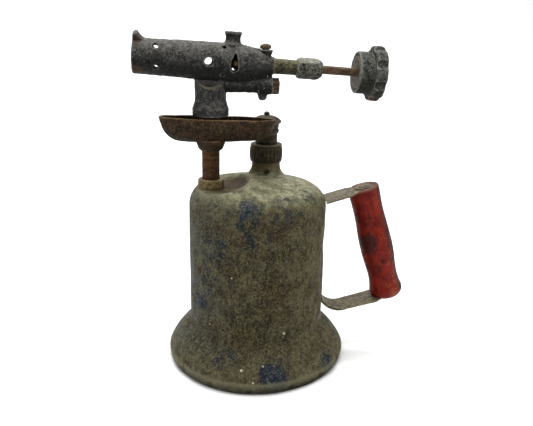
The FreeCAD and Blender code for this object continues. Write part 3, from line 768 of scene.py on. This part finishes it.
# nodes that share one skin, size of its faces, rounds of softening, lumps as size and depth,
# and material
aged = (
    (
        "burner_casting burner_tube rest_boss", 0.55, 1,
        ((9, 0.20), (2.6, 0.18), (1.2, 0.12)), burner_iron,
    ),
    ("drip_cup", 0.5, 2, ((10, 0.25), (3, 0.14), (1.2, 0.07)), cup_iron),
    ("riser_pipe", 0.45, 1, ((3, 0.06), (1, 0.04)), pipe_rust),
    ("riser_bung", 0.35, 2, ((4, 0.10), (1, 0.05)), bung_brass),
    ("top_screw", 0.3, 2, ((2, 0.12), (0.9, 0.06)), plug_rust),
    ("rear_plug", 0.35, 3, ((2.5, 0.35), (1, 0.12)), plug_rust),
    ("gland_tube", 0.4, 1, ((3, 0.12), (1.1, 0.08)), gland_brass),
    ("packing_nut", 0.4, 3, ((4, 0.20), (1.4, 0.12)), nut_iron),
    ("valve_stem", 0.4, 1, ((3, 0.03), (1.2, 0.02)), stem_rust),
    ("knob_drum", 0.45, 2, ((6, 0.15), (1.6, 0.10)), knob_grey),
    ("knob_wheel", 0.5, 2, ((7, 0.20), (1.8, 0.12)), knob_grey),
    ("knob_face_plate", 0.35, 1, ((4, 0.06), (1.2, 0.05)), face_steel),
    ("knob_nut", 0.35, 2, ((2, 0.08),), face_steel),
    ("pump_barrel", 0.6, 1, ((5, 0.05), (1.5, 0.04)), pump_brass),
    ("pump_collar", 0.4, 1, ((5, 0.10), (1.4, 0.06)), pump_brass),
    ("barrel_cap", 0.4, 1, ((3, 0.08),), pump_brass),
    ("pump_knob", 0.4, 1, ((5, 0.12), (1.4, 0.06)), pump_brass),
    ("knob_rivet", 0.25, 1, ((1.5, 0.08),), black_steel),
    ("grip", 0.6, 2, ((24, 0.25), (7, 0.10), (2, 0.04)), grip_paint),
    ("upper_strap", 0.4, 2, ((8, 0.12), (2, 0.06)), strap_steel),
    ("lower_strap", 0.4, 2, ((8, 0.15), (2, 0.06)), strap_steel),
    ("handle_rod", 0.45, 1, ((3, 0.08),), strap_steel),
    ("handle_washer", 0.3, 1, ((3, 0.05),), strap_steel),
    ("handle_nut", 0.35, 2, ((3, 0.10),), strap_steel),
)
for number, (names, voxel, soften, roughen, material) in enumerate(aged):
    nodes = names.split()
    piece = weather(remeshed(nodes, voxel), soften, roughen, seed=100 * number)
    finished(piece, nodes, material)

cotton = woven("cotton", 1.4, tone(196, 188, 166), tone(140, 130, 106))
cord_packing = woven("cord_packing", 1.0, tone(92, 88, 80), tone(52, 50, 46))
oiled_leather = hide("oiled_leather", tone(120, 84, 52), tone(70, 46, 28))
turned_brass = machined("turned_brass", tone(170, 146, 88), tone(120, 100, 60), 0.4, 0.9)
turned_steel = machined("turned_steel", tone(150, 150, 148), tone(104, 102, 98), 0.35, 0.9)
inner_tin = machined("inner_tin", tone(96, 92, 78), tone(64, 60, 48), 0.6, 0.4)
carried = {
    "tank_bottom": inner_tin, "suction_tube": turned_steel, "wick": cotton, "gas_jet": turned_brass,
    "packing_ring": cord_packing, "valve_needle": turned_steel, "neck_gasket": oiled_leather,
    "collar_washer": oiled_leather, "pump_rod": turned_steel, "piston_plate": turned_brass,
    "piston_leather": oiled_leather, "piston_nut": turned_steel, "check_valve_body": turned_brass,
    "check_ball": turned_steel, "check_spring": turned_steel, "check_cap": turned_brass,
}
for node, material in carried.items():
    mesh = frame["nodes"][node].data
    mesh.materials.clear()
    mesh.materials.append(material)

# ---- floor, light and camera ----


def stage_floor():
    """A plain pale sheet that curves up behind the object."""
    outline = trace(0.05, (-2.0, 0.0), (1.5, 0.0), ((1.95, 0.2), (2.1, 0.7)), (2.1, 2.5))
    work = bmesh.new()
    rows = [[work.verts.new((x, p.x, p.y)) for p in outline] for x in (-3.0, 3.0)]
    for k in range(len(outline) - 1):
        work.faces.new((rows[0][k], rows[1][k], rows[1][k + 1], rows[0][k + 1]))
    mesh = bpy.data.meshes.new("floor")
    work.to_mesh(mesh)
    work.free()
    mesh.shade_smooth()
    floor = new_piece("floor", mesh)
    p = Paint("floor_paper")
    colour = p.mix(p.noise(40, 1), tone(232, 232, 231), tone(236, 236, 235))
    mesh.materials.append(p.done(colour, 0.9))


def softbox(name, place, aim, width, depth, power):
    """A soft rectangular light at a place, turned towards a point, in metres and watts."""
    light = bpy.data.lights.new(name, "AREA")
    light.shape = "RECTANGLE"
    light.size = width
    light.size_y = depth
    light.energy = power
    lamp = bpy.data.objects.new(name, light)
    lamp.location = place
    lamp.rotation_mode = "QUATERNION"
    lamp.rotation_quaternion = (Vector(aim) - Vector(place)).to_track_quat("-Z", "Y")
    bpy.context.scene.collection.objects.link(lamp)


def camera():
    """Seen from a little above the burner, as a hand-held photographer would."""
    place = (-0.0492, -0.4383, 0.2536)
    turn, dip, roll = math.radians(7.306), math.radians(16.82), -0.0225
    focal_length, full_frame = 39.03, 36
    ahead = Vector((math.sin(turn) * math.cos(dip), math.cos(turn) * math.cos(dip), -math.sin(dip)))
    right = Vector((math.cos(turn), -math.sin(turn), 0))
    below = ahead.cross(right)
    across = math.cos(roll) * right + math.sin(roll) * below
    under = -math.sin(roll) * right + math.cos(roll) * below
    data = bpy.data.cameras.new("camera")
    data.sensor_width = full_frame
    data.lens = focal_length
    data.clip_start = 0.01
    eye = bpy.data.objects.new("camera", data)
    facing = Matrix((across, -under, -ahead)).transposed().to_4x4()
    eye.matrix_world = Matrix.Translation(place) @ facing
    bpy.context.scene.collection.objects.link(eye)
    bpy.context.scene.camera = eye


stage_floor()
world = bpy.data.worlds.new("studio")
world.use_nodes = True
sky = world.node_tree.nodes["Background"]
sky.inputs["Color"].default_value = (0.95, 0.98, 1.0, 1)
sky.inputs["Strength"].default_value = 0.26
bpy.context.scene.world = world
centre = (0.0, 0.0, 0.13)
softbox("overhead", (-0.05, -0.1, 1.1), centre, 0.7, 0.7, 14)
softbox("left_side", (-1.0, -0.5, 0.5), centre, 0.4, 0.6, 3.5)
softbox("right_side", (0.95, -0.35, 0.45), centre, 0.4, 0.6, 3.5)
softbox("backdrop_wash", (0.0, 1.0, 1.9), (0.0, 2.0, 0.2), 2.0, 0.6, 60)
bpy.context.scene.view_settings.view_transform = "Standard"
camera()
